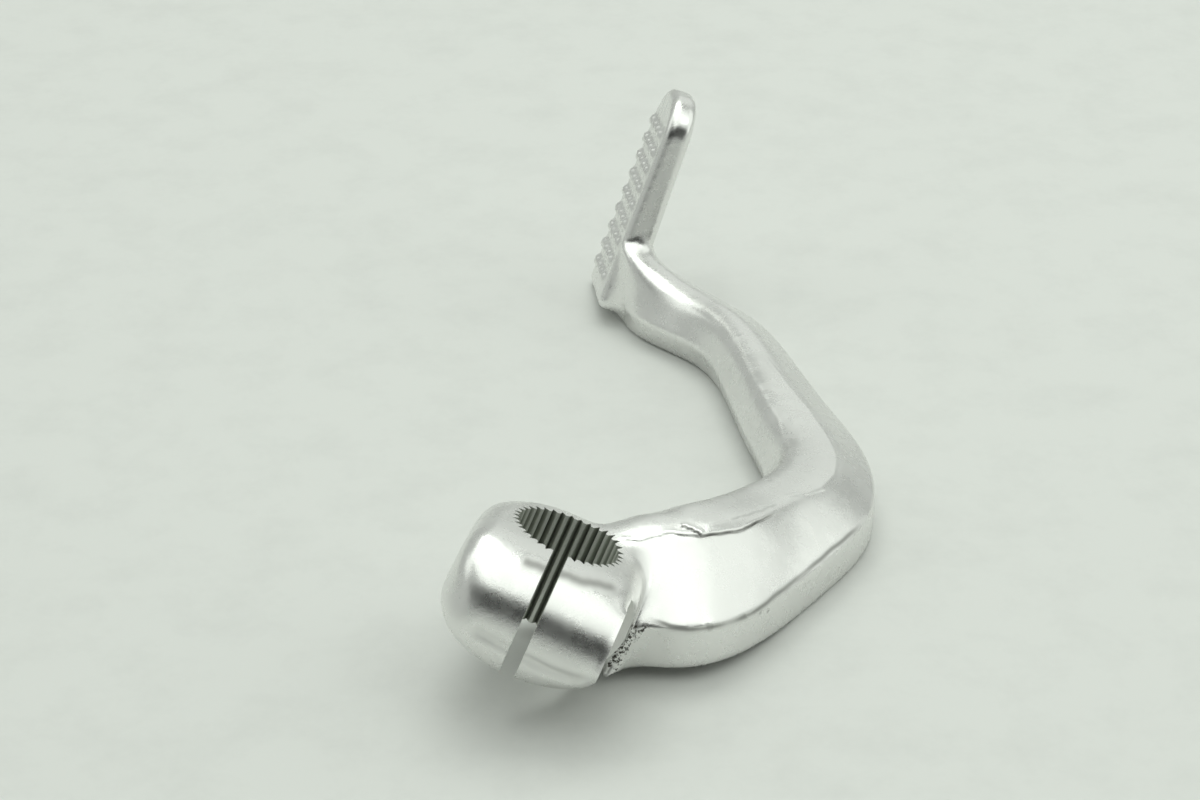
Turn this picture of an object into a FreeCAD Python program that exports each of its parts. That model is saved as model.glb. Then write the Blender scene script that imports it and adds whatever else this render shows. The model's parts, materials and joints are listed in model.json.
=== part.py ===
import FreeCAD
import Part

import math
import os

from FreeCAD import Placement, Rotation, Vector

# Forged brake pedal: a split, serrated clamp boss, an arm with two bends and a toothed toe pad, in one piece.
# Millimetres. The origin is the middle of the bore. +Z is up from the flat underside that the pedal lies on,
# +Y runs towards the pad and +X towards the elbow of the arm.

# Height of the bore's middle above the flat underside
bore_above_underside = 13.6

# Clamp boss. In its own frame x is the pinch bolt's axis, y points away from the slit and z is the bore's axis
boss_turn = -13.2
boss_lean_side = 20.5
boss_lean_back = -15.2
boss_height = 18.5
boss_radius = 14.0
boss_draft = 3.2
boss_corner_radius = 9.0
boss_crown_radius = 20.0
boss_edge_round = 3.4
nose_front_margin = 0.8
nose_radius = 10.5
nose_reach = 18.8
sharp_angle = math.radians(15)

# Serrated bore, clamp slit and the facing cut round the bore's lower mouth
serration_count = 36
serration_crest_radius = 8.1
serration_depth = 0.95
serration_crest_share = 0.36
slit_width = 2.4
facing_radius = 12.0

# Pinch bolt: clearance hole and spot face on the right of the slit, blind tapped hole on the left
bolt_offset = 13.3
bolt_clearance_radius = 3.3
bolt_tap_radius = 2.5
bolt_tap_depth = 8.5
spot_face_radius = 8.6
spot_face_from_bore = 12.3

# Arm: thickness and edges of the forging
part_line_height = 6.8
inner_line_height = 5.0
inner_underside_draft = 1.2
outer_underside_draft = 0.2
top_edge_round = 1.6
line_edge_round = 0.9
underside_edge_round = 0.8

# Arm stations from the boss to the pad: place in plan, heading in degrees from +X, reach to the inner and the
# outer side, inner and outer edge of the top land, height of the top land above the underside
arm_stations = [
    (5.0, 3.0, 34.0, 7.0, 8.0, -4.0, 4.6, 17.5),
    (14.6, 6.6, 34.0, 9.4, 8.1, -6.6, 0.9, 19.3),
    (22.4, 8.6, 36.0, 11.0, 8.6, -8.8, -0.6, 18.9),
    (29.9, 14.4, 43.0, 11.2, 8.8, -9.0, 0.2, 17.1),
    (37.4, 24.0, 53.0, 10.8, 8.8, -8.6, 0.6, 14.4),
    (43.8, 36.0, 72.0, 10.2, 9.0, -7.4, 1.8, 12.4),
    (44.2, 48.6, 94.0, 8.8, 8.7, -5.6, 2.0, 11.2),
    (40.5, 63.2, 102.0, 7.9, 7.9, -5.0, 1.4, 11.0),
    (36.3, 79.8, 107.0, 6.9, 6.8, -4.3, 0.8, 11.0),
    (30.7, 94.4, 121.0, 6.6, 6.6, -3.8, 0.8, 11.0),
    (21.8, 104.0, 139.0, 6.6, 7.8, -3.0, 1.6, 11.4),
    (16.0, 111.4, 154.0, 6.8, 8.8, -4.6, 0.0, 14.6),
    (12.5, 116.0, 174.0, 6.6, 8.6, -3.6, -0.6, 15.0),
]

# Toe pad. In its own frame x points to the plain back, y across the pad and z along it
pad_place_x = 9.8
pad_place_y = 117.2
pad_base_height = 0.8
pad_turn = 1.0
pad_lean_side = 21.6
pad_lean_back = -11.4
pad_length = 41.5
pad_width = 18.0
pad_root_thickness = 6.4
pad_tip_thickness = 4.8
pad_tip_round = 7.5
pad_edge_round = 1.6

# Teeth on the pad's foot side
tooth_rows = 4
tooth_pitch_across = 3.7
tooth_pitch_along = 3.6
tooth_count_along = 9
tooth_base = 3.2
tooth_tip = 1.2
tooth_height = 0.9
tooth_first = 3.6
tooth_sink = 0.4


def turned(turn, lean_side, lean_back, place):
    """Placement of a sub-form: its turn about Z, its lean to the side and its lean back, at a place."""
    return Placement(place, Rotation(turn, lean_side, lean_back))


def rounded_polygon(corners, radii):
    """Closed wire through the corners, in order, each corner rounded with its own radius."""
    count = len(corners)
    entries = []
    for index in range(count):
        corner = corners[index]
        before = (corners[index - 1] - corner).normalize()
        after = (corners[(index + 1) % count] - corner).normalize()
        half = before.getAngle(after) / 2
        bisector = (before + after).normalize()
        reach = radii[index] / math.tan(half)
        depth = radii[index] / math.sin(half) - radii[index]
        entries.append((corner + before * reach, corner + bisector * depth, corner + after * reach))
    edges = []
    for index in range(count):
        start, middle, end = entries[index]
        edges.append(Part.Arc(start, middle, end).toShape())
        edges.append(Part.LineSegment(end, entries[(index + 1) % count][0]).toShape())
    return Part.Wire(edges)


def sharp_edges(solid):
    """Edges of the solid where two faces meet at a corner."""
    found = []
    for edge in solid.Edges:
        middle = edge.valueAt((edge.FirstParameter + edge.LastParameter) / 2)
        normals = []
        for face in solid.ancestorsOfType(edge, Part.Face):
            u, v = face.Surface.parameter(middle)
            normals.append(face.normalAt(u, v))
        if normals[0].getAngle(normals[-1]) > sharp_angle:
            found.append(edge)
    return found


def arm_section(station):
    """Section of the arm across its heading: six corners from the inner underside round to the inner side."""
    x, y, heading, inner, outer, top_inner, top_outer, top = station
    angle = math.radians(heading)
    outward = Vector(math.sin(angle), -math.cos(angle), 0)
    middle = Vector(x, y, -bore_above_underside)
    outline = [
        (inner_underside_draft - inner, 0, underside_edge_round),
        (outer - outer_underside_draft, 0, underside_edge_round),
        (outer, part_line_height, line_edge_round),
        (top_outer, top, top_edge_round),
        (top_inner, top, top_edge_round),
        (-inner, inner_line_height, line_edge_round),
    ]
    corners = [middle + outward * across + Vector(0, 0, height) for across, height, _ in outline]
    return rounded_polygon(corners, [radius for _, _, radius in outline])


def make_arm():
    """The arm, lofted through its stations."""
    return Part.makeLoft([arm_section(station) for station in arm_stations], True, False)


def boss_outline(radius, height):
    """Plan of the boss at one height: round back, straight sides and two large front corners."""
    front = -(nose_reach + nose_front_margin)
    corner = boss_corner_radius
    bend = corner * math.sqrt(0.5)
    side_end = front + corner
    front_end = radius - corner
    right_back = Vector(radius, 0, height)
    left_back = Vector(-radius, 0, height)
    left_side = Vector(-radius, side_end, height)
    left_bend = Vector(-front_end - bend, side_end - bend, height)
    left_front = Vector(-front_end, front, height)
    right_front = Vector(front_end, front, height)
    right_bend = Vector(front_end + bend, side_end - bend, height)
    right_side = Vector(radius, side_end, height)
    return Part.Wire([
        Part.Arc(right_back, Vector(0, radius, height), left_back).toShape(),
        Part.LineSegment(left_back, left_side).toShape(),
        Part.Arc(left_side, left_bend, left_front).toShape(),
        Part.LineSegment(left_front, right_front).toShape(),
        Part.Arc(right_front, right_bend, right_side).toShape(),
        Part.LineSegment(right_side, right_back).toShape(),
    ])


def nose_prism(start_x, end_x):
    """Side view of the boss, a flat top that runs tangent into the half-round nose, with a crowned underside."""
    half = boss_height / 2
    nose_y = nose_radius - nose_reach
    nose_z = half - nose_radius
    bottom_y = nose_y - math.sqrt(nose_radius ** 2 - (half + nose_z) ** 2)
    back_y = boss_radius * 2
    top = Vector(start_x, nose_y, half)
    bottom = Vector(start_x, bottom_y, -half)
    back_top = Vector(start_x, back_y, half)
    back_bottom = Vector(start_x, back_y, -half)
    profile = Part.Wire([
        Part.LineSegment(back_top, top).toShape(),
        Part.Arc(top, Vector(start_x, -nose_reach, nose_z), bottom).toShape(),
        Part.LineSegment(bottom, back_bottom).toShape(),
        Part.LineSegment(back_bottom, back_top).toShape(),
    ])
    prism = Part.Face(profile).extrude(Vector(end_x - start_x, 0, 0))
    crown = Part.makeCylinder(
        boss_crown_radius, back_y * 4, Vector(0, -back_y * 2, boss_crown_radius - half), Vector(0, 1, 0)
    )
    return prism.common(crown)


def make_boss():
    """Clamp boss in its own frame: drafted plan, half-round nose and crowned underside, with rounded edges."""
    half = boss_height / 2
    spread = half * math.tan(math.radians(boss_draft))
    body = Part.makeLoft(
        [boss_outline(boss_radius + spread, -half), boss_outline(boss_radius - spread, half)], True, True
    )
    blank = body.common(nose_prism(-boss_radius * 2, boss_radius * 2))
    return blank.makeFillet(boss_edge_round, sharp_edges(blank)).fuse(make_nose_end())


def make_nose_end():
    """Right end of the nose, where the half-round runs on at its full size to the spot face."""
    prism = nose_prism(0, spot_face_from_bore)
    lip = [edge for edge in sharp_edges(prism) if is_lip(edge)]
    rounded = prism.makeFillet(boss_edge_round, lip)
    front = Part.makeBox(
        spot_face_from_bore, nose_reach, boss_height * 2, Vector(0, -bolt_offset - nose_reach, -boss_height)
    )
    return rounded.common(front)


def is_lip(edge):
    """Whether the edge is the lower front edge of the nose, along the pinch bolt."""
    low = edge.BoundBox.ZMax < 0
    in_front = edge.BoundBox.YMax < -nose_radius
    along_bolt = edge.BoundBox.XLength > spot_face_from_bore / 2
    return low and in_front and along_bolt


def make_bore():
    """Serrated bore as a solid to cut: flat crests on the stated radius and sharp grooves between them."""
    pitch = 2 * math.pi / serration_count
    half_crest = pitch * serration_crest_share / 2
    groove_radius = serration_crest_radius + serration_depth
    low = -boss_height

    def at(radius, angle):
        return Vector(radius * math.cos(angle), radius * math.sin(angle), low)

    edges = []
    for index in range(serration_count):
        middle = index * pitch
        crest_start = at(serration_crest_radius, middle - half_crest)
        crest_end = at(serration_crest_radius, middle + half_crest)
        groove = at(groove_radius, middle + pitch / 2)
        next_start = at(serration_crest_radius, middle + pitch - half_crest)
        edges.append(Part.Arc(crest_start, at(serration_crest_radius, middle), crest_end).toShape())
        edges.append(Part.LineSegment(crest_end, groove).toShape())
        edges.append(Part.LineSegment(groove, next_start).toShape())
    return Part.Face(Part.Wire(edges)).extrude(Vector(0, 0, boss_height * 2))


def make_clamp_cuts():
    """Slit, pinch bolt holes, spot face and lower facing as solids to cut, in the boss's own frame."""
    half_slit = slit_width / 2
    across = Vector(1, 0, 0)
    reach = nose_reach * 2
    slit = Part.makeBox(slit_width, reach, boss_height * 2, Vector(-half_slit, -reach, -boss_height))
    clearance = Part.makeCylinder(bolt_clearance_radius, spot_face_from_bore, Vector(0, -bolt_offset, 0), across)
    tapped = Part.makeCylinder(
        bolt_tap_radius, half_slit + bolt_tap_depth, Vector(0, -bolt_offset, 0), across * -1
    )
    spot_face = Part.makeCylinder(
        spot_face_radius, reach, Vector(spot_face_from_bore, -bolt_offset, 0), across
    )
    facing = Part.makeCylinder(
        facing_radius, boss_height, Vector(0, 0, -boss_height / 2), Vector(0, 0, -1)
    )
    return [slit, clearance, tapped, spot_face, facing]


def make_pad():
    """Toe pad in its own frame: a plate with a round end that thins towards its tip, edges rounded."""
    half = pad_width / 2
    tip = pad_length - pad_tip_round
    side = half - pad_tip_round
    bend = pad_tip_round * math.sqrt(0.5)
    foot_x = -pad_root_thickness / 2
    low_near = Vector(foot_x, -half, 0)
    low_far = Vector(foot_x, half, 0)
    high_near = Vector(foot_x, -half, tip)
    high_far = Vector(foot_x, half, tip)
    tip_near = Vector(foot_x, -side, pad_length)
    tip_far = Vector(foot_x, side, pad_length)
    outline = Part.Wire([
        Part.LineSegment(low_near, high_near).toShape(),
        Part.Arc(high_near, Vector(foot_x, -side - bend, tip + bend), tip_near).toShape(),
        Part.LineSegment(tip_near, tip_far).toShape(),
        Part.Arc(tip_far, Vector(foot_x, side + bend, tip + bend), high_far).toShape(),
        Part.LineSegment(high_far, low_far).toShape(),
        Part.LineSegment(low_far, low_near).toShape(),
    ])
    plate = Part.Face(outline).extrude(Vector(pad_root_thickness, 0, 0))
    wedge = Part.Face(Part.makePolygon([
        Vector(foot_x, -pad_width, 0),
        Vector(foot_x + pad_root_thickness, -pad_width, 0),
        Vector(foot_x + pad_tip_thickness, -pad_width, pad_length),
        Vector(foot_x, -pad_width, pad_length),
        Vector(foot_x, -pad_width, 0),
    ])).extrude(Vector(0, pad_width * 2, 0))
    tapered = plate.common(wedge)
    return tapered.makeFillet(pad_edge_round, sharp_edges(tapered))


def make_teeth():
    """Blunt pyramids in rows on the pad's foot side, in the pad's own frame."""
    teeth = []
    inset = (tooth_base - tooth_tip) / 2
    face_x = -pad_root_thickness / 2
    for row in range(tooth_rows):
        across = (row - (tooth_rows - 1) / 2) * tooth_pitch_across - tooth_base / 2
        for index in range(tooth_count_along):
            along = tooth_first + index * tooth_pitch_along
            tooth = Part.makeWedge(
                0, 0, 0, inset, inset,
                tooth_base, tooth_height + tooth_sink, tooth_base, tooth_base - inset, tooth_base - inset,
            )
            tooth.Placement = Placement(
                Vector(face_x + tooth_sink, across, along), Rotation(Vector(0, 0, 1), 90)
            )
            teeth.append(tooth)
    return teeth


def make_room():
    """The space above the flat underside."""
    side = 4 * pad_place_y
    return Part.makeBox(side, side, side, Vector(-side / 2, -side / 2, -bore_above_underside))


def build():
    boss_place = turned(boss_turn, boss_lean_side, boss_lean_back, Vector(0, 0, 0))
    pad_place = turned(
        pad_turn, pad_lean_side, pad_lean_back,
        Vector(pad_place_x, pad_place_y, pad_base_height - bore_above_underside),
    )
    boss = make_boss()
    boss.Placement = boss_place
    pad = make_pad().fuse(make_teeth())
    pad.Placement = pad_place
    blank = boss.fuse([make_arm(), pad]).common(make_room())
    cuts = [make_bore()] + make_clamp_cuts()
    for cut in cuts:
        cut.Placement = boss_place * cut.Placement
    return blank.cut(cuts)


pedal = build()
os.makedirs("parts", exist_ok=True)
pedal.exportStep("parts/brake_pedal.step")
print("valid", pedal.isValid(), "solids", len(pedal.Solids), "volume", round(pedal.Volume))
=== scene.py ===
import json
import math

import bmesh
import bpy
import numpy as np
from mathutils import Matrix, Vector
from mathutils.kdtree import KDTree


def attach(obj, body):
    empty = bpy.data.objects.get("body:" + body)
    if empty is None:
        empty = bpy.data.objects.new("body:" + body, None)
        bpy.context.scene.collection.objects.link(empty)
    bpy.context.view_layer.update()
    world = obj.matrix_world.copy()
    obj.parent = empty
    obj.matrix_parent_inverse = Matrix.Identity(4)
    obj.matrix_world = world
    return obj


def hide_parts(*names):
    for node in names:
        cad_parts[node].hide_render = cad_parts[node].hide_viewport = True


# Forged aluminium brake pedal on a pale table. Metres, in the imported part's frame: the origin is the middle
# of the bore, +Z is up from the table, +Y runs towards the toe pad and +X towards the elbow of the arm.

MM = 0.001

# Table and camera
table_height = -13.6 * MM
table_half_side = 3.0
table_colour = (0.68, 0.69, 0.67)
table_worn_share = 0.94
camera_place = (0.0083, -0.36465, 0.2434)
camera_pitch = 60.0
camera_lens = 87.0

# Dark parts of the room, behind the camera and in a gap high on the far side: direction of the middle and
# half sizes
dark_middle = (0.0, -0.85, 0.45)
dark_half_width = 0.85
dark_half_height = 0.31
gap_middle = (0.41, 0.42, 0.81)
gap_half_width = 0.35
gap_half_height = 0.08
dark_brightness = 0.04
room_brightness = 0.5
light_colour = (0.95, 1.0, 0.94)

# Softboxes: name, place, width, height and brightness of the face. All are turned to one point by the pedal
softbox_aim = Vector((0.02, 0.03, 0))
softboxes = [
    ("overhead", (0.05, 0.05, 0.9), 1.7, 1.1, 0.85),
    ("window", (0.0, 0.5, 1.0), 0.8, 0.5, 2.2),
    ("far_right", (0.4, 1.05, 0.55), 0.7, 0.8, 0.3),
    ("left_side", (-1.0, 0.25, 0.8), 0.7, 0.6, 0.6),
    ("right_side", (1.02, 0.0, 0.66), 1.4, 1.15, 0.6),
]

# Colours of the forged skin and of the dark mixed into it (painted shade in its marks and nicks, dirt in the
# specks), of the bore's crests, flanks and grooves (flanks and grooves darkened by dirt and painted shade),
# and of the other cuts
skin_colour = (0.83, 0.83, 0.815)
dirt_and_shade_colour = (0.03, 0.026, 0.018)
crest_colour = (0.72, 0.74, 0.69)
flank_dirt_and_shade_colour = (0.43, 0.45, 0.4)
groove_dirt_and_shade_colour = (0.22, 0.235, 0.2)
machined_colour = (0.85, 0.85, 0.83)

# Sizes of the clamp's cuts, nose and crown that the mounts don't state
serration_count = 36
serration_depth = 0.95 * MM
serration_crest_share = 0.36
slit_width = 2.4 * MM
spot_face_radius = 8.6 * MM
spot_face_length = 37.6 * MM
nose_radius = 10.5 * MM
nose_reach = 18.8 * MM
nose_end_margin = 1.2 * MM
crown_radius = 20.0 * MM
plug_margin = 0.3 * MM

# Forged skin: size of its faces, and smoothing of the whole, the arm's ridges, the boss's crown and the
# inner corners
voxel_size = 0.45 * MM
smooth_step = 0.5
swell_step = 0.52
tooth_smoothing = 0.35
skin_passes = 6
ridge_passes = 45
crown_passes = 70
corner_passes = 260
corner_depth = 0.02 * MM
corner_reach = 6.0 * MM
corner_full_share = 0.3
corner_slide = 0.3
normals_every = 5
sharp_angle = 38.0

# Where those treatments fade: heights above the table and on the boss, distances from the bore's axis,
# behind it and beyond the spot face, and places along the arm
ridge_rise = (7.0 * MM, 9.0 * MM)
ridge_start = (15.0 * MM, 19.0 * MM)
ridge_end = (104.0 * MM, 112.0 * MM)
crown_rise = (3.0 * MM, 6.0 * MM)
crown_end = (19.0 * MM, 23.0 * MM)
nose_back = (-13.0 * MM, -8.0 * MM)
nose_side = (1.0 * MM, 4.0 * MM)
pad_start = (98.0 * MM, 104.0 * MM)

# The pad: a point in it, the direction away from its toothed face, and how far along that the teeth reach
pad_place = Vector((9.8, 117.2, -12.8)) * MM
pad_normal = Vector((0.93, 0.016, -0.368))
pad_tooth_side = -2.0 * MM

# Root of the arm: how far its lower half is drawn out and up beside the boss, how much less its foot is
# lifted, the heights above the table between which that fades, and where it starts beyond the spot face and
# ends to the right and to the back
root_draw = Vector((-0.1, -5.2, 3.5)) * MM
root_skirt = 0.34
root_fade = (6.5 * MM, 19.0 * MM)
root_start = (-1.0 * MM, 3.0 * MM)
root_end = (22.0 * MM, 42.0 * MM)
root_back = (14.0 * MM, 26.0 * MM)

# Lines of the marks on the skin, as points in millimetres before the root of the arm is drawn out
crease_line = [
    (10.7, 5.3, 5.5), (14.4, 5.6, 5.4), (16.7, 6.7, 5.5), (19.4, 7.8, 5.1), (22.0, 8.3, 4.3),
    (24.0, 8.9, 3.6), (26.7, 10.4, 3.1), (30.4, 13.0, 2.2), (32.3, 15.3, 1.8), (34.9, 18.7, 1.2),
    (36.4, 20.9, 0.7),
]
fold_line = [(20.6, 9.7, 5.3), (22.1, 9.4, 4.8), (23.1, 9.1, 4.3), (24.0, 8.9, 3.6)]
faint_line = [(28.4, 13.7, 3.6), (30.8, 16.0, 2.9), (33.3, 18.8, 2.0), (36.5, 23.0, 0.9)]
parting_line = [
    (15.1, 0.1, -5.2), (18.9, 0.0, -6.8), (22.0, 0.1, -7.4), (25.1, 0.7, -7.5), (31.3, 3.9, -7.3),
    (36.1, 8.6, -6.5), (42.9, 17.5, -6.3), (49.1, 26.7, -6.4), (51.2, 30.5, -6.7),
]
smear_line = [
    (-3.2, -10.3, 12.1), (0.0, -10.9, 10.9), (2.8, -11.0, 10.0), (5.4, -11.4, 9.1), (11.5, -10.6, 6.9),
]
lip_line = [
    (-10.6, -16.6, 4.2), (-5.6, -17.9, 1.6), (-0.4, -19.2, -0.9), (4.2, -20.2, -2.5), (8.4, -20.9, -3.8),
]
outer_edge_line = [
    (36.6, 24.5, 0.6), (41.5, 27.8, -0.7), (44.3, 30.6, -1.2), (46.7, 36.0, -2.0), (47.4, 43.0, -2.6),
    (46.6, 49.3, -2.9), (43.4, 60.3, -2.9), (36.0, 80.8, -2.9),
]
inner_edge_line = [
    (38.3, 44.0, -3.3), (39.1, 46.9, -2.7), (38.5, 55.5, -2.7), (34.7, 71.7, -3.0), (32.3, 80.0, -3.2),
]
dirt_line = [(10.4, -2.1, -11.6), (12.3, -1.2, -9.5), (14.4, -0.3, -7.0)]

# Marks: line, depth and half width of the groove in millimetres, height of the lip beside it and share of
# painted shade in it (on the smear partly dirt). Those without depth are beads
marks = [
    # The dark in the crease, fold and faint lines is painted shade of their grooves, on the parting line a
    # painted dark reflection, on the smear partly dirt and partly painted shade of a step the skin lacks, on
    # the lip a little painted shade
    (crease_line, 0.26, 0.16, 0.10, 1.0),
    (fold_line, 0.26, 0.18, 0.16, 1.0),
    (faint_line, 0.06, 0.20, 0.03, 0.24),
    (parting_line, 0.08, 0.28, 0.0, 0.6),
    (smear_line, 0.05, 0.8, 0.0, 0.6),
    (lip_line, 0.45, 1.0, 0.0, 0.1),
    (outer_edge_line, 0.0, 0.2, 0.10, 0.0),
    (inner_edge_line, 0.0, 0.2, 0.08, 0.0),
]
mark_reach = 1.5 * MM
mark_reach_in_widths = 2.6
mark_start = (0.0, 0.06)
mark_end = (0.88, 1.0)
lip_offset = 0.5 * MM
lip_half_width = 0.42 * MM
mark_shade_spread = 1.4
dirt_half_width = 1.7 * MM

# Sideways wander of the marks: width in millimetres, radians from end to end of the line, and phase
wanders = [(0.08, 23, 0), (0.04, 61, 1)]

# Nicks: place, radius and depth in millimetres
nicks = [
    ((32.9, 5.2, -8.0), 0.40, 0.14),
    ((34.2, 6.4, -8.4), 0.32, 0.12),
    ((35.2, 31.6, -0.2), 0.40, 0.12),
]
nick_line_length = 0.1
# Painted shade in the nicks: its strength, and its spread against the nick's radius
nick_shade = 0.45
nick_shade_spread = 0.8

# Finer faces near nicks and narrow marks: half width in millimetres under which a mark is
# narrow, reach, and cuts of each edge
narrow_mark = 0.5
refine_reach = 0.9 * MM
refine_cuts = 2

# Sockets of the Mix node, which has several of each name
mix_share = 0
mix_first_value = 2
mix_second_value = 3
mix_first_colour = 6
mix_second_colour = 7
mixed_value = 0
mixed_colour = 2

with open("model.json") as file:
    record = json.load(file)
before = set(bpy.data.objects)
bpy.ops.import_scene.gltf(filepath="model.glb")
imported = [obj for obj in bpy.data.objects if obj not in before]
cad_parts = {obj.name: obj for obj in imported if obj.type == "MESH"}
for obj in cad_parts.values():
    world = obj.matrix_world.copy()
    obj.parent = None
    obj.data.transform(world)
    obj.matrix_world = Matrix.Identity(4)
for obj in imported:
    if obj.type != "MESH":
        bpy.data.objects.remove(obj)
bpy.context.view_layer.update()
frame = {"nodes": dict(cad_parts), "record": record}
mounts = {mount["name"]: mount for mount in frame["record"]["mounts"]}

bore = mounts["spline_bore"]
bolt_hole = mounts["pinch_bolt_hole"]
bolt_thread = mounts["pinch_thread"]
bore_axis = Vector(bore["axis"]).normalized()
bolt_axis = Vector(bolt_hole["axis"]).normalized()
back_axis = bore_axis.cross(bolt_axis)
boss_height = bore["dims"]["length_mm"] * MM
crest_radius = bore["dims"]["r_mm"] * MM
groove_radius = crest_radius + serration_depth
clearance_radius = bolt_hole["dims"]["r_mm"] * MM
tap_radius = bolt_thread["dims"]["r_mm"] * MM
boss_frame = Matrix((bolt_axis, back_axis, bore_axis)).transposed().to_4x4()
boss_inverse = boss_frame.inverted()
bolt_offset = (boss_inverse @ Vector(bolt_hole["pos_m"])).y
spot_face_x = slit_width / 2 + bolt_hole["dims"]["length_mm"] * MM
tap_end_x = -slit_width / 2 - bolt_thread["dims"]["length_mm"] * MM


def new_object(name, mesh):
    """Object in the scene for a mesh."""
    item = bpy.data.objects.new(name, mesh)
    bpy.context.scene.collection.objects.link(item)
    return item


def mesh_from(name, points, faces):
    """Mesh from points and faces."""
    mesh = bpy.data.meshes.new(name)
    mesh.from_pydata([tuple(point) for point in points], [], faces)
    mesh.update()
    return mesh


def prism_faces(count):
    """Faces of a prism whose two ends have the same count of points."""
    faces = [tuple(reversed(range(count))), tuple(range(count, 2 * count))]
    for index in range(count):
        after = (index + 1) % count
        faces.append((index, after, count + after, count + index))
    return faces


def prism(outline, low, high):
    """Points and faces of an upright prism over a flat outline."""
    points = [(x, y, low) for x, y in outline] + [(x, y, high) for x, y in outline]
    return points, prism_faces(len(outline))


def circle(radius, count=72):
    """Points of a circle, in order."""
    angles = [2 * math.pi * index / count for index in range(count)]
    return [(radius * math.cos(angle), radius * math.sin(angle)) for angle in angles]


def along_bolt(start_x, end_x, radius):
    """Points and faces of a cylinder on the pinch bolt's axis, in the boss's frame."""
    points, faces = prism(circle(radius), start_x, end_x)
    return [(z, bolt_offset + x, y) for x, y, z in points], faces


def serrated_outline():
    """Outline of the serrated bore: flat crests with a sharp groove between each two."""
    pitch = 2 * math.pi / serration_count
    half_crest = pitch * serration_crest_share / 2
    outline = []
    for index in range(serration_count):
        middle = index * pitch
        for radius, angle in (
            (crest_radius, middle - half_crest),
            (crest_radius, middle + half_crest),
            (groove_radius, middle + pitch / 2),
        ):
            outline.append((radius * math.cos(angle), radius * math.sin(angle)))
    return outline


def nose_end():
    """Points and faces of the nose's right end, run past the spot face so that its cut is crisp."""
    half = boss_height / 2
    middle_y = nose_radius - nose_reach
    middle_z = half - nose_radius
    steps = 24
    first = math.acos((bolt_offset - middle_y) / nose_radius)
    ends = (spot_face_x * 0.7, spot_face_x + 2 * MM)
    points = []
    for x in ends:
        low = crown_radius - half - math.sqrt(crown_radius ** 2 - x ** 2) + nose_end_margin
        last = math.pi + math.asin((middle_z - low) / nose_radius)
        for index in range(steps):
            angle = first + (last - first) * index / (steps - 1)
            y = middle_y + nose_radius * math.cos(angle)
            z = middle_z + nose_radius * math.sin(angle)
            points.append((x, y, z))
        points.append((x, bolt_offset, low))
    return points, prism_faces(steps + 1)


def boss_solid(name, points, faces):
    """Object from points in the boss's frame, placed in the part's frame."""
    return new_object(name, mesh_from(name, [boss_frame @ Vector(point) for point in points], faces))


def copy_of_cad():
    """Copy of the CAD mesh with its seams welded."""
    mesh = frame["nodes"]["brake_pedal"].data.copy()
    work = bmesh.new()
    work.from_mesh(mesh)
    bmesh.ops.remove_doubles(work, verts=work.verts, dist=1e-6)
    work.to_mesh(mesh)
    work.free()
    return new_object("forging_blank", mesh)


def slit_filler(blank):
    """Prism that closes the slit: the wall on the bolt head's side, pulled across to the other wall."""
    work = bmesh.new()
    work.from_mesh(blank.data)
    half_slit = slit_width / 2
    tolerance = 0.02 * MM
    least_facing = 0.99
    rest = []
    for face in work.faces:
        middle = boss_inverse @ face.calc_center_median()
        if abs(middle.x - half_slit) > tolerance or abs(face.normal.dot(bolt_axis)) < least_facing:
            rest.append(face)
    bmesh.ops.delete(work, geom=rest, context="FACES")
    made = bmesh.ops.extrude_face_region(work, geom=list(work.faces), use_keep_orig=True)
    moved = [item for item in made["geom"] if isinstance(item, bmesh.types.BMVert)]
    bmesh.ops.translate(work, verts=moved, vec=-bolt_axis * slit_width)
    bmesh.ops.recalc_face_normals(work, faces=work.faces)
    mesh = bpy.data.meshes.new("slit_filler")
    work.to_mesh(mesh)
    work.free()
    return new_object("slit_filler", mesh)


def joined(items):
    """The objects joined in the first one."""
    first = items[0]
    work = bmesh.new()
    for item in items:
        work.from_mesh(item.data)
    work.to_mesh(first.data)
    work.free()
    for item in items[1:]:
        bpy.data.objects.remove(item)
    return first


def apply_modifiers(item):
    """The object's mesh with its modifiers applied."""
    evaluated = item.evaluated_get(bpy.context.evaluated_depsgraph_get())
    mesh = bpy.data.meshes.new_from_object(evaluated)
    item.modifiers.clear()
    item.data = mesh
    return item


def remeshed(item):
    """The object's mesh rebuilt as an even skin of small faces."""
    modifier = item.modifiers.new("skin", "REMESH")
    modifier.mode = "VOXEL"
    modifier.voxel_size = voxel_size
    return apply_modifiers(item)


def read_points(mesh):
    """Places of the mesh's points, one row each."""
    points = np.empty(len(mesh.vertices) * 3)
    mesh.vertices.foreach_get("co", points)
    return points.reshape(-1, 3)


def read_normals(mesh):
    """Directions out of the mesh at its points, one row each."""
    normals = np.empty(len(mesh.vertices) * 3)
    mesh.vertex_normals.foreach_get("vector", normals)
    return normals.reshape(-1, 3)


def read_edges(mesh):
    """The two points of each of the mesh's edges, one row each."""
    edges = np.empty(len(mesh.edges) * 2, dtype=np.int32)
    mesh.edges.foreach_get("vertices", edges)
    return edges.reshape(-1, 2)


def write_points(mesh, points):
    """Moves the mesh's points to new places."""
    mesh.vertices.foreach_set("co", points.ravel())
    mesh.update()


def pull_to_neighbours(points, edges):
    """Step of each point to the mean of its neighbours."""
    count = len(points)
    start = edges[:, 0]
    end = edges[:, 1]
    valence = np.bincount(edges.ravel(), minlength=count)
    total = np.empty_like(points)
    for axis in range(3):
        total[:, axis] = np.bincount(start, points[end, axis], count)
        total[:, axis] += np.bincount(end, points[start, axis], count)
    return total / valence[:, None] - points


def ramp(value, low, high):
    """Smooth step from 0 at low to 1 at high."""
    share = np.clip((value - low) / (high - low), 0, 1)
    return share * share * (3 - 2 * share)


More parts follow.
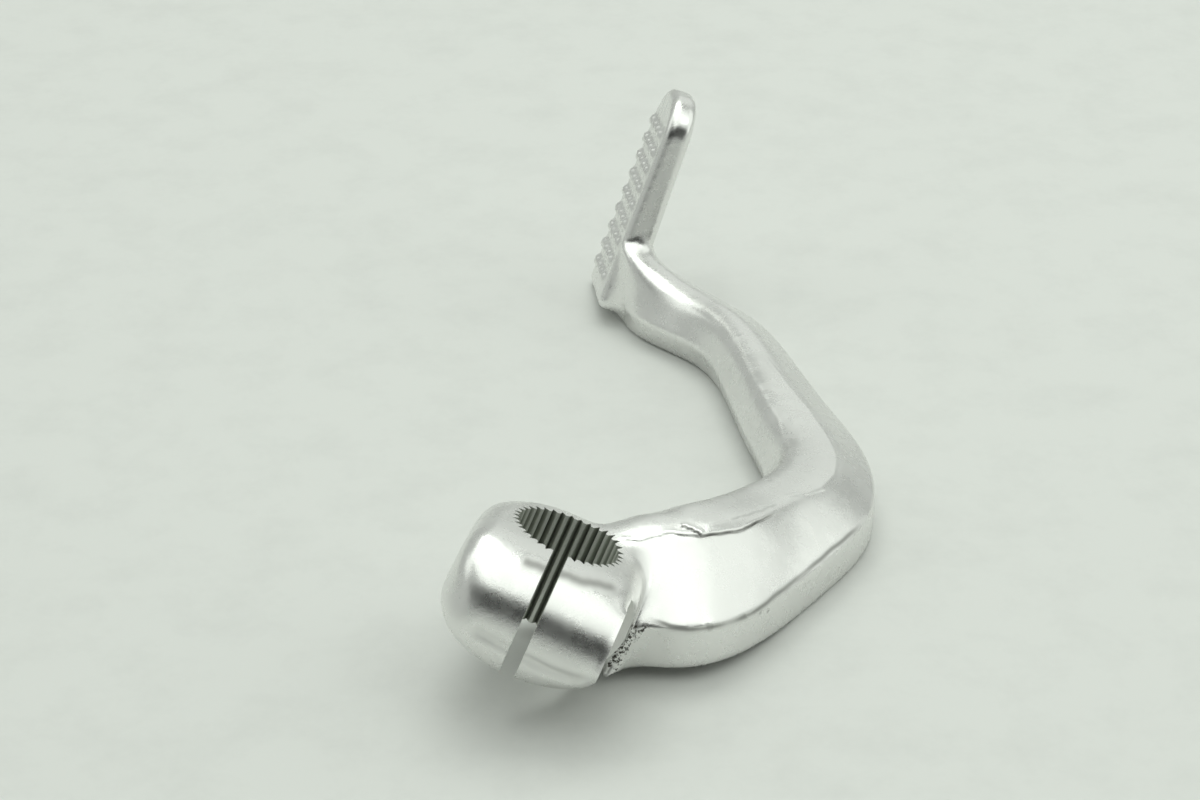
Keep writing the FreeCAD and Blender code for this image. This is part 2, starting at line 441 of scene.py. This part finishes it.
def smooth_skin(mesh):
    """Evens the remeshed skin and keeps its volume."""
    points = read_points(mesh)
    edges = read_edges(mesh)
    weight = (tooth_smoothing + (1 - tooth_smoothing) * off_the_teeth(points))[:, None]
    for _ in range(skin_passes):
        points = points + smooth_step * weight * pull_to_neighbours(points, edges)
        points = points - swell_step * weight * pull_to_neighbours(points, edges)
    write_points(mesh, points)


def distance_from_bore(points):
    """Distance of each point from the bore's axis."""
    axis = np.array(bore_axis)
    return np.linalg.norm(points - np.outer(points @ axis, axis), axis=1)


def off_the_teeth(points):
    """1 away from the pad's toothed face, 0 on it."""
    side = (points - np.array(pad_place)) @ np.array(pad_normal)
    on_pad = ramp(points[:, 1], *pad_start)
    return 1 - on_pad * (1 - ramp(side, pad_tooth_side, pad_tooth_side + MM))


def beyond_spot_face(points):
    """Distance of each point beyond the spot face, along the pinch bolt."""
    return points @ np.array(bolt_axis) - spot_face_x


def drawn_out(points):
    """The points with those of the arm's lower root drawn out and up."""
    height = points[:, 2] - table_height
    share = 1 - np.clip((height - root_fade[0]) / (root_fade[1] - root_fade[0]), 0, 1)
    share *= 1 - ramp(points[:, 0], *root_end)
    share *= ramp(beyond_spot_face(points), *root_start)
    share *= 1 - ramp(points[:, 1], *root_back)
    move = share[:, None] * np.array(root_draw)
    move[:, 2] *= 1 - root_skirt * (1 - ramp(height, 0, root_fade[0]))
    return points + move


def soften(mesh, weight, passes):
    """Pulls each point to its neighbours by its weight, a number of times."""
    points = read_points(mesh)
    edges = read_edges(mesh)
    for _ in range(passes):
        points = points + smooth_step * weight[:, None] * pull_to_neighbours(points, edges)
    write_points(mesh, points)


def soften_ridges(mesh):
    """Softens the arm's upper ridges."""
    points = read_points(mesh)
    weight = ramp(points[:, 2] - table_height, *ridge_rise)
    weight *= ramp(distance_from_bore(points), *ridge_start)
    weight *= 1 - ramp(points[:, 1], *ridge_end)
    soften(mesh, weight, ridge_passes)


def soften_crown(mesh):
    """Rounds the top of the boss into its barrel."""
    points = read_points(mesh)
    weight = ramp(points @ np.array(bore_axis), *crown_rise)
    weight *= 1 - ramp(distance_from_bore(points), *crown_end)
    soften(mesh, weight, crown_passes)


def off_the_nose(points):
    """1 away from the boss's round nose, 0 on it."""
    back = points @ np.array(back_axis)
    return 1 - (1 - ramp(back, *nose_back)) * (1 - ramp(beyond_spot_face(points), *nose_side))


def fill_corners(mesh):
    """Fills the inner corners where the boss and the pad grow out of the arm with soft forged radii."""
    points = read_points(mesh)
    edges = read_edges(mesh)
    normals = read_normals(mesh)
    depth = np.einsum("ij,ij->i", pull_to_neighbours(points, edges), normals)
    open_skin = off_the_teeth(points)
    seeds = np.flatnonzero((depth > corner_depth) & (open_skin > 0.5))
    tree = KDTree(len(seeds))
    for index, seed in enumerate(seeds):
        tree.insert(points[seed], index)
    tree.balance()
    distance = np.array([tree.find(point)[2] for point in points])
    weight = open_skin * off_the_nose(points)
    weight *= 1 - ramp(distance, corner_reach * corner_full_share, corner_reach)
    for index in range(corner_passes):
        if index % normals_every == 0:
            write_points(mesh, points)
            normals = read_normals(mesh)
        pull = pull_to_neighbours(points, edges)
        outward = np.einsum("ij,ij->i", pull, normals)
        along = pull - outward[:, None] * normals
        step = np.maximum(outward, 0.0)[:, None] * normals + corner_slide * along
        points = points + smooth_step * weight[:, None] * step
    write_points(mesh, points)


def along_line(points, line):
    """Distance of each point from a line of points, its share of the way along, and which side it is on."""
    corners = drawn_out(np.array(line) * MM)
    lengths = np.linalg.norm(np.diff(corners, axis=0), axis=1)
    passed = np.concatenate([[0], np.cumsum(lengths)])
    distance = np.full(len(points), 1.0)
    share = np.zeros(len(points))
    side = np.zeros(len(points))
    for index, length in enumerate(lengths):
        run = (corners[index + 1] - corners[index]) / length
        offset = points - corners[index]
        step = np.clip(offset @ run, 0, length)
        gap = np.linalg.norm(offset - step[:, None] * run, axis=1)
        closer = gap < distance
        distance[closer] = gap[closer]
        share[closer] = (passed[index] + step[closer]) / passed[-1]
        side[closer] = np.sign(run[0] * offset[closer, 1] - run[1] * offset[closer, 0])
    return distance, share, side


def fade_at_ends(share):
    """1 along the middle of a line, 0 at its ends."""
    return ramp(share, *mark_start) * (1 - ramp(share, *mark_end))


def wander(share):
    """Sideways wander of a mark at a share of the way along it."""
    return sum(width * np.sin(angle * share + phase) for width, angle, phase in wanders) * MM


def nick_line(place):
    """Short line at a nick, to find the faces near it."""
    return [place, (place[0] + nick_line_length, place[1], place[2])]


def distance_from_nick(points, place):
    """Distance of each point from a nick's middle on the drawn-out skin."""
    return np.linalg.norm(points - drawn_out(np.array([place]) * MM), axis=1)


def refine(mesh, lines):
    """Splits the skin's faces near the lines, so that fine marks fit in."""
    points = read_points(mesh)
    near = np.zeros(len(points), dtype=bool)
    for line in lines:
        near |= along_line(points, line)[0] < refine_reach
    work = bmesh.new()
    work.from_mesh(mesh)
    edges = [edge for edge in work.edges if near[edge.verts[0].index] and near[edge.verts[1].index]]
    bmesh.ops.subdivide_edges(work, edges=edges, cuts=refine_cuts, use_grid_fill=True)
    bmesh.ops.triangulate(work, faces=[face for face in work.faces if len(face.verts) > 4])
    work.to_mesh(mesh)
    work.free()


def mark_skin(mesh):
    """Presses the marks' grooves and the nicks into the skin, and raises the lips and beads."""
    lines = [line for line, _, half_width, _, _ in marks if half_width < narrow_mark]
    refine(mesh, lines + [nick_line(place) for place, _, _ in nicks])
    points = read_points(mesh)
    normals = read_normals(mesh)
    lift = np.zeros(len(points))
    for line, depth, half_width, lip, _ in marks:
        distance, share, side = along_line(points, line)
        across = distance * side + wander(share)
        reach = max(mark_reach, mark_reach_in_widths * half_width * MM)
        groove = -depth * np.exp(-(across / (half_width * MM)) ** 2)
        edge = lip * np.exp(-((across - lip_offset) / lip_half_width) ** 2)
        lift += (groove + edge) * MM * fade_at_ends(share) * (distance < reach)
    for place, radius, depth in nicks:
        share = distance_from_nick(points, place) / (radius * MM)
        lift -= depth * MM * np.exp(-share ** 2)
    write_points(mesh, points + lift[:, None] * normals)


def store(mesh, name, values):
    """Stores one value for each point of the mesh under a name."""
    attribute = mesh.attributes.new(name, "FLOAT", "POINT")
    attribute.data.foreach_set("value", values.astype(np.float32))


def paint_shade_and_dirt(mesh):
    """Stores where dark is painted: painted shade in the marks and nicks, and dirt in specks along the spot
    face.
    """
    points = read_points(mesh)
    shade = np.zeros(len(points))
    for line, _, half_width, _, dirt_and_shade in marks:
        distance, share, side = along_line(points, line)
        across = (distance * side + wander(share)) / (half_width * mark_shade_spread * MM)
        shade = np.maximum(shade, dirt_and_shade * np.exp(-across ** 2) * fade_at_ends(share))
    for place, radius, _ in nicks:
        share = distance_from_nick(points, place) / (radius * nick_shade_spread * MM)
        shade = np.maximum(shade, nick_shade * np.exp(-share ** 2))
    store(mesh, "crease_shade", shade)
    distance = along_line(points, dirt_line)[0]
    store(mesh, "dirt", np.exp(-(distance / dirt_half_width) ** 4))


def cut(item, cutter):
    """Cuts the cutter out of the object."""
    modifier = item.modifiers.new("cut", "BOOLEAN")
    modifier.operation = "DIFFERENCE"
    modifier.solver = "MANIFOLD"
    modifier.object = cutter
    modifier.material_mode = "TRANSFER"
    apply_modifiers(item)
    bpy.data.objects.remove(cutter)


def machine_clamp(item, bore_metal, cut_metal):
    """Machined cuts of the clamp: serrated bore, slit, bolt holes and spot face."""
    reach = boss_height * 0.75
    half_slit = slit_width / 2
    front = -4 * groove_radius
    slit = [(-half_slit, front), (half_slit, front), (half_slit, 0), (-half_slit, 0)]
    spot_face_end = spot_face_x + spot_face_length
    cutters = [
        (boss_solid("bore_cutter", *prism(serrated_outline(), -reach, reach)), bore_metal),
        (boss_solid("slit_cutter", *prism(slit, -reach, reach)), cut_metal),
        (boss_solid("hole_cutter", *along_bolt(0, spot_face_x + MM, clearance_radius)), cut_metal),
        (boss_solid("tap_cutter", *along_bolt(tap_end_x, 0, tap_radius)), cut_metal),
        (boss_solid("spot_cutter", *along_bolt(spot_face_x, spot_face_end, spot_face_radius)), cut_metal),
    ]
    for cutter, metal in cutters:
        cutter.data.materials.append(metal)
        cut(item, cutter)


def make_forging(skin_metal, bore_metal, cut_metal):
    """The pedal's skin, smoothed like a forging, with the machined cuts made again in it."""
    blank = copy_of_cad()
    half = boss_height / 2
    hole = along_bolt(tap_end_x - MM, spot_face_x - MM, clearance_radius + MM)
    plugs = [
        slit_filler(blank),
        boss_solid("bore_plug", *prism(circle(groove_radius + plug_margin), -half, half)),
        boss_solid("nose_plug", *nose_end()),
        boss_solid("hole_plug", *hole),
    ]
    forging = remeshed(joined([blank] + plugs))
    forging.name = "brake_pedal_forging"
    forging.data.materials.clear()
    forging.data.materials.append(skin_metal)
    smooth_skin(forging.data)
    soften_crown(forging.data)
    soften_ridges(forging.data)
    write_points(forging.data, drawn_out(read_points(forging.data)))
    fill_corners(forging.data)
    mark_skin(forging.data)
    machine_clamp(forging, bore_metal, cut_metal)
    paint_shade_and_dirt(forging.data)
    forging.data.shade_smooth()
    forging.data.set_sharp_from_angle(angle=math.radians(sharp_angle))
    return forging


def add_node(tree, kind, values=None, **settings):
    """Shader node with values on its sockets and settings."""
    made = tree.nodes.new(kind)
    for name, value in settings.items():
        setattr(made, name, value)
    for name, value in (values or {}).items():
        made.inputs[name].default_value = value
    return made


def new_material(name, colour, metallic, roughness):
    """Material with a plain shader."""
    material = bpy.data.materials.new(name)
    material.use_nodes = True
    shader = material.node_tree.nodes["Principled BSDF"]
    shader.inputs["Base Color"].default_value = (*colour, 1)
    shader.inputs["Metallic"].default_value = metallic
    shader.inputs["Roughness"].default_value = roughness
    return material, material.node_tree, shader


def noise(tree, place, values):
    """Socket of a noise texture."""
    texture = add_node(tree, "ShaderNodeTexNoise", values)
    tree.links.new(place, texture.inputs["Vector"])
    return texture.outputs["Fac"]


def dirt_and_shade_share(tree, place):
    """Socket with the share of dark: painted shade, even in the marks, and dirt in specks where the dirt is.
    """
    link = tree.links.new
    speck = noise(tree, place, {"Scale": 1700, "Detail": 6, "Roughness": 0.75})
    crease = add_node(tree, "ShaderNodeAttribute", attribute_name="crease_shade")
    dirt = add_node(tree, "ShaderNodeAttribute", attribute_name="dirt")
    speckled = add_node(tree, "ShaderNodeMath", operation="MULTIPLY")
    spots = add_node(tree, "ShaderNodeMapRange", {"From Min": 0.48, "From Max": 0.52})
    dirt_and_shade = add_node(tree, "ShaderNodeMath", operation="MAXIMUM", use_clamp=True)
    link(dirt.outputs["Fac"], speckled.inputs[0])
    link(speck, speckled.inputs[1])
    link(speckled.outputs["Value"], spots.inputs["Value"])
    link(spots.outputs["Result"], dirt_and_shade.inputs[0])
    link(crease.outputs["Fac"], dirt_and_shade.inputs[1])
    return dirt_and_shade.outputs["Value"]


def grain_normal(tree, place):
    """Socket with the direction of a skin that has a fine grain on a broader peel."""
    link = tree.links.new
    grain = noise(tree, place, {"Scale": 3300, "Detail": 3, "Roughness": 0.7})
    peel = noise(tree, place, {"Scale": 700, "Detail": 3})
    fine = add_node(tree, "ShaderNodeBump", {"Strength": 0.6, "Distance": 0.03 * MM})
    broad = add_node(tree, "ShaderNodeBump", {"Strength": 0.5, "Distance": 0.03 * MM})
    link(peel, broad.inputs["Height"])
    link(grain, fine.inputs["Height"])
    link(broad.outputs["Normal"], fine.inputs["Normal"])
    return fine.outputs["Normal"]


def forged_metal():
    """Satin aluminium with a fine sparkling grain, scuffs, painted shade in its marks and nicks, and dirt
    specks beside the spot face.
    """
    material, tree, shader = new_material("forged_aluminium_skin", skin_colour, 1, 0.24)
    link = tree.links.new
    place = add_node(tree, "ShaderNodeTexCoord").outputs["Object"]
    cloud = noise(tree, place, {"Scale": 220, "Detail": 5, "Roughness": 0.65})
    dirt_and_shade = dirt_and_shade_share(tree, place)
    gloss_range = {"From Min": 0.35, "From Max": 0.65, "To Min": 0.22, "To Max": 0.33}
    gloss = add_node(tree, "ShaderNodeMapRange", gloss_range)
    colours = {mix_first_colour: (*skin_colour, 1), mix_second_colour: (*dirt_and_shade_colour, 1)}
    colour = add_node(tree, "ShaderNodeMix", colours, data_type="RGBA")
    matt = add_node(tree, "ShaderNodeMix", {mix_second_value: 0.75})
    bare = add_node(tree, "ShaderNodeMapRange", {"To Min": 1.0, "To Max": 0.1})
    link(cloud, gloss.inputs["Value"])
    link(dirt_and_shade, colour.inputs[mix_share])
    link(dirt_and_shade, matt.inputs[mix_share])
    link(gloss.outputs["Result"], matt.inputs[mix_first_value])
    link(dirt_and_shade, bare.inputs["Value"])
    link(grain_normal(tree, place), shader.inputs["Normal"])
    link(colour.outputs[mixed_colour], shader.inputs["Base Color"])
    link(matt.outputs[mixed_value], shader.inputs["Roughness"])
    link(bare.outputs["Result"], shader.inputs["Metallic"])
    return material


def bore_dirt_and_shade_metal():
    """Darker towards the bore's grooves, from dirt and painted shade of the recesses; lighter on the crests.
    """
    material, tree, shader = new_material("serrations_dirt_and_shade", groove_dirt_and_shade_colour, 0.7, 0.45)
    link = tree.links.new
    place = add_node(tree, "ShaderNodeTexCoord")
    along = add_node(tree, "ShaderNodeVectorMath", {1: tuple(bore_axis)}, operation="DOT_PRODUCT")
    on_axis = add_node(tree, "ShaderNodeVectorMath", {0: tuple(bore_axis)}, operation="SCALE")
    away = add_node(tree, "ShaderNodeVectorMath", operation="SUBTRACT")
    radius = add_node(tree, "ShaderNodeVectorMath", operation="LENGTH")
    height = add_node(tree, "ShaderNodeMapRange", {"From Min": crest_radius, "From Max": groove_radius})
    # Colour by depth in the serrations: flanks and grooves darkened by dirt and painted shade
    colour = add_node(tree, "ShaderNodeValToRGB")
    steps = colour.color_ramp.elements
    steps[0].color = (*crest_colour, 1)
    steps[0].position = 0.02
    steps[1].color = (*flank_dirt_and_shade_colour, 1)
    steps[1].position = 0.25
    steps.new(1.0).color = (*groove_dirt_and_shade_colour, 1)
    link(place.outputs["Object"], along.inputs[0])
    link(along.outputs["Value"], on_axis.inputs["Scale"])
    link(place.outputs["Object"], away.inputs[0])
    link(on_axis.outputs["Vector"], away.inputs[1])
    link(away.outputs["Vector"], radius.inputs[0])
    link(radius.outputs["Value"], height.inputs["Value"])
    link(height.outputs["Result"], colour.inputs["Fac"])
    link(colour.outputs["Color"], shader.inputs["Base Color"])
    return material


def machined_metal():
    """Machined aluminium in the slit, holes and spot face."""
    return new_material("machined_aluminium", machined_colour, 0.4, 0.55)[0]


def make_table():
    """Pale table under the pedal."""
    side = table_half_side
    corners = [(-side, -side), (side, -side), (side, side), (-side, side)]
    points = [(x, y, table_height) for x, y in corners]
    table = new_object("table", mesh_from("table", points, [(0, 1, 2, 3)]))
    material, tree, shader = new_material("table_paint", table_colour, 0, 0.55)
    shader.inputs["Specular IOR Level"].default_value = 0.2
    place = add_node(tree, "ShaderNodeTexCoord").outputs["Object"]
    cloud = noise(tree, place, {"Scale": 90, "Detail": 8, "Roughness": 0.65})
    worn = tuple(value * table_worn_share for value in table_colour)
    colours = {mix_first_colour: (*table_colour, 1), mix_second_colour: (*worn, 1)}
    colour = add_node(tree, "ShaderNodeMix", colours, data_type="RGBA")
    amount = add_node(tree, "ShaderNodeMapRange", {"From Min": 0.45, "From Max": 0.75})
    tree.links.new(cloud, amount.inputs["Value"])
    tree.links.new(amount.outputs["Result"], colour.inputs[mix_share])
    tree.links.new(colour.outputs[mixed_colour], shader.inputs["Base Color"])
    table.data.materials.append(material)


def make_camera():
    """Camera at the photograph's viewing angle."""
    camera = bpy.data.objects.new("camera", bpy.data.cameras.new("camera"))
    bpy.context.scene.collection.objects.link(camera)
    camera.location = camera_place
    camera.rotation_euler = (math.radians(camera_pitch), 0, 0)
    camera.data.lens = camera_lens
    camera.data.sensor_width = 36
    camera.data.clip_start = 0.01
    bpy.context.scene.camera = camera


def softbox(name, place, width, height, brightness):
    """Area lamp at a place, turned to the pedal. The brightness is that of its face."""
    lamp = bpy.data.lights.new(name, "AREA")
    lamp.shape = "RECTANGLE"
    lamp.color = light_colour
    lamp.size = width
    lamp.size_y = height
    lamp.energy = brightness * math.pi * width * height
    item = bpy.data.objects.new(name, lamp)
    bpy.context.scene.collection.objects.link(item)
    item.location = place
    item.rotation_euler = (softbox_aim - Vector(place)).to_track_quat("-Z", "Y").to_euler()


def dark_spot(tree, middle, half_width, half_height):
    """Socket that is 0 in a soft dark spot of the room and 1 around it."""
    place = add_node(tree, "ShaderNodeTexCoord")
    spread = (1 / half_width, 1, 1 / half_height)
    shift = tuple(-start * scale for start, scale in zip(middle, spread))
    spot = add_node(tree, "ShaderNodeMapping", {"Location": shift, "Scale": spread})
    size = add_node(tree, "ShaderNodeVectorMath", operation="LENGTH")
    shade = add_node(
        tree, "ShaderNodeMapRange", {"From Min": 0.75, "From Max": 1.2}, interpolation_type="SMOOTHSTEP"
    )
    tree.links.new(place.outputs["Generated"], spot.inputs["Vector"])
    tree.links.new(spot.outputs["Vector"], size.inputs[0])
    tree.links.new(size.outputs["Value"], shade.inputs["Value"])
    return shade.outputs["Result"]


def make_room_light():
    """Soft studio light: softboxes in a pale room with two dark parts."""
    for name, place, width, height, brightness in softboxes:
        softbox(name, place, width, height, brightness)
    world = bpy.data.worlds.new("room")
    bpy.context.scene.world = world
    world.use_nodes = True
    tree = world.node_tree
    both = add_node(tree, "ShaderNodeMath", operation="MINIMUM")
    level = add_node(tree, "ShaderNodeMapRange", {"To Min": dark_brightness, "To Max": room_brightness})
    tree.links.new(dark_spot(tree, dark_middle, dark_half_width, dark_half_height), both.inputs[0])
    tree.links.new(dark_spot(tree, gap_middle, gap_half_width, gap_half_height), both.inputs[1])
    tree.links.new(both.outputs["Value"], level.inputs["Value"])
    tree.links.new(level.outputs["Result"], tree.nodes["Background"].inputs["Strength"])
    tree.nodes["Background"].inputs["Color"].default_value = (*light_colour, 1)


forging = make_forging(forged_metal(), bore_dirt_and_shade_metal(), machined_metal())
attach(forging, "root")
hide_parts("brake_pedal")
make_table()
make_camera()
make_room_light()
bpy.context.scene.view_settings.view_transform = "Standard"
